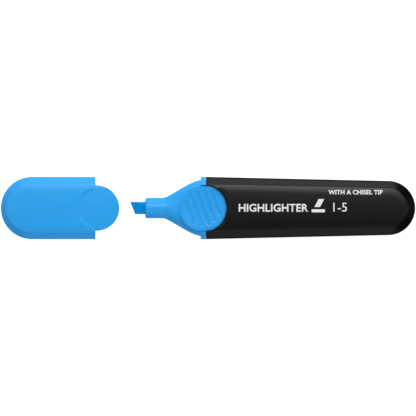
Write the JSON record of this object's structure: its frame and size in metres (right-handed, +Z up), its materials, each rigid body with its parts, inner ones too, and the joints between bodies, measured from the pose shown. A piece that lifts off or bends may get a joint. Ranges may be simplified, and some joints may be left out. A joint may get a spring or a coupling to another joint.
{
  "type": "highlighter",
  "caption": "Flat capped highlighter with a tapered black barrel, round dished grip pads, a slanted chisel nib and a cap that slides off along its axis.",
  "frame": {"origin": "on the surface the highlighter lies on, under the middle of the whole object with its cap off", "axes": "+X along the pen from the cap to the barrel's round end, +Y across it, +Z up through its thickness"},
  "size_m": [0.1636, 0.0246, 0.015],
  "materials": {
    "barrel_plastic": "fine-grained satin black",
    "front_plastic": "semi-gloss bright blue",
    "nib_felt": "bonded fibre soaked with blue ink",
    "reservoir_fibre": "fibre rod soaked with blue ink",
    "film_plastic": "thin pale film",
    "cap_plastic": "semi-gloss bright blue",
    "seal_plastic": "natural milky plastic"
  },
  "bodies": {
    "pen": {"barrel": "barrel_plastic", "front_section": "front_plastic", "chisel_nib": "nib_felt", "ink_reservoir": "reservoir_fibre", "reservoir_film": "film_plastic"},
    "cap": {"cap_shell": "cap_plastic", "cap_inner_seal": "seal_plastic"}
  },
  "joints": [
    {"name": "cap_slide", "type": "slide", "parent": "pen", "child": "cap", "axis": [1, 0, 0], "range_m": [0, 0.0415]}
  ]
}
